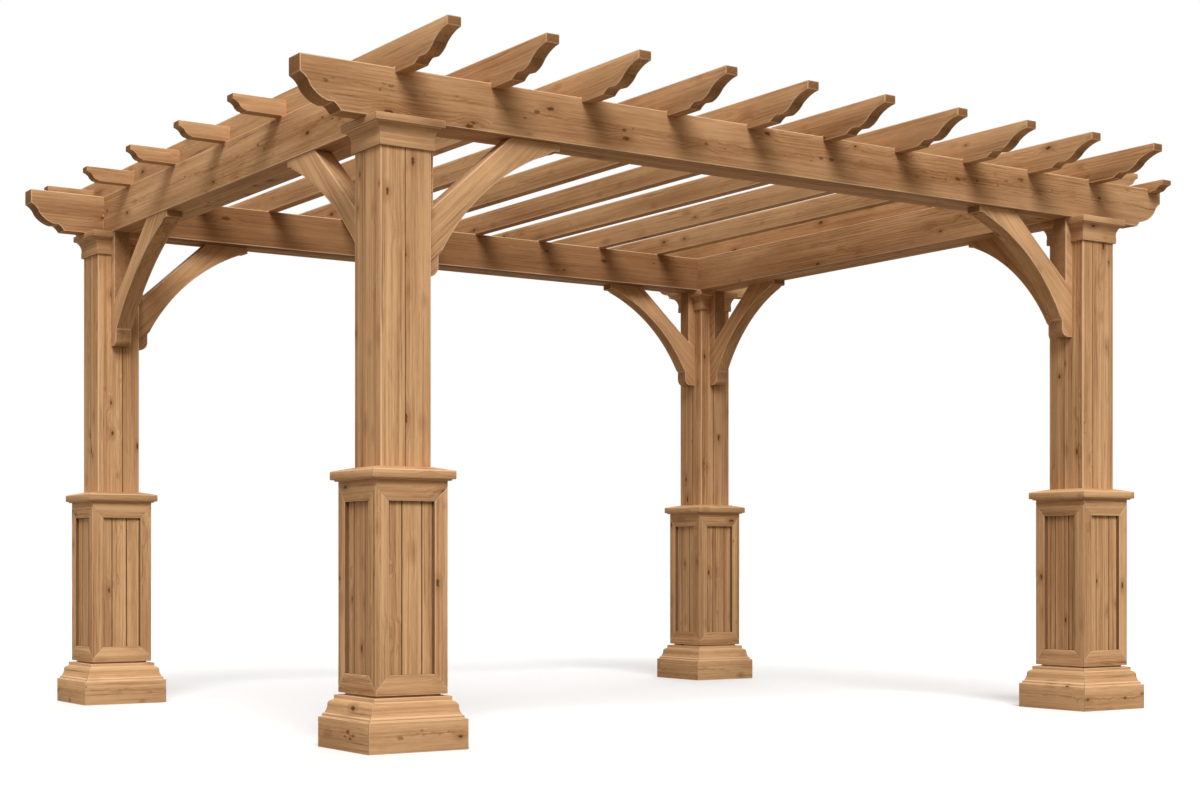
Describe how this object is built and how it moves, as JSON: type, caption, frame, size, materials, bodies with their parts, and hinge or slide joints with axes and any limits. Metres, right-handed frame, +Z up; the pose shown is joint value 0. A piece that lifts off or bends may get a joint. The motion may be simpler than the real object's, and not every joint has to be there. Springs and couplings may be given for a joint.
{
  "type": "wooden pergola",
  "caption": "Free-standing wooden pergola with cased columns on panelled pedestals, moulded bases and capitals, shaped beam and rafter tails and curved knee braces.",
  "frame": {"origin": "on the ground, under the middle of the whole outline", "axes": "+X along the front beam towards the right-hand columns, +Y from front to back, +Z up"},
  "size_m": [4.8296, 4.106, 2.747],
  "materials": {
    "column_boards": "planed softwood boards, clear finish, satin",
    "moulded_timber": "moulded softwood, clear finish, satin",
    "beam_timber": "planed softwood timber, clear finish, satin",
    "brace_timber": "sawn and planed softwood, clear finish, satin",
    "rafter_timber": "planed softwood timber, clear finish, satin"
  },
  "bodies": {
    "root": {"back_beam": "beam_timber", "back_inner_beam": "beam_timber", "beam_brace_back_left": "brace_timber", "beam_brace_back_right": "brace_timber", "beam_brace_front_left": "brace_timber", "beam_brace_front_right": "brace_timber", "column_base_back_left": "moulded_timber", "column_base_back_right": "moulded_timber", "column_base_front_left": "moulded_timber", "column_base_front_right": "moulded_timber", "column_capital_back_left": "moulded_timber", "column_capital_back_right": "moulded_timber", "column_capital_front_left": "moulded_timber", "column_capital_front_right": "moulded_timber", "column_pedestal_back_left": "column_boards", "column_pedestal_back_right": "column_boards", "column_pedestal_front_left": "column_boards", "column_pedestal_front_right": "column_boards", "column_shaft_back_left": "column_boards", "column_shaft_back_right": "column_boards", "column_shaft_front_left": "column_boards", "column_shaft_front_right": "column_boards", "front_beam": "beam_timber", "front_inner_beam": "beam_timber", "front_right_end_tails": "rafter_timber", "left_inner_beam": "beam_timber", "left_side_beam": "beam_timber", "left_side_tails": "rafter_timber", "pedestal_cap_back_left": "moulded_timber", "pedestal_cap_back_right": "moulded_timber", "pedestal_cap_front_left": "moulded_timber", "pedestal_cap_front_right": "moulded_timber", "rafter_1": "rafter_timber", "rafter_10": "rafter_timber", "rafter_2": "rafter_timber", "rafter_3": "rafter_timber", "rafter_4": "rafter_timber", "rafter_5": "rafter_timber", "rafter_6": "rafter_timber", "rafter_7": "rafter_timber", "rafter_8": "rafter_timber", "rafter_9": "rafter_timber", "right_inner_beam": "beam_timber", "right_side_beam": "beam_timber", "right_side_tails": "rafter_timber", "side_brace_back_left": "brace_timber", "side_brace_back_right": "brace_timber", "side_brace_front_left": "brace_timber", "side_brace_front_right": "brace_timber"}
  },
  "joints": []
}
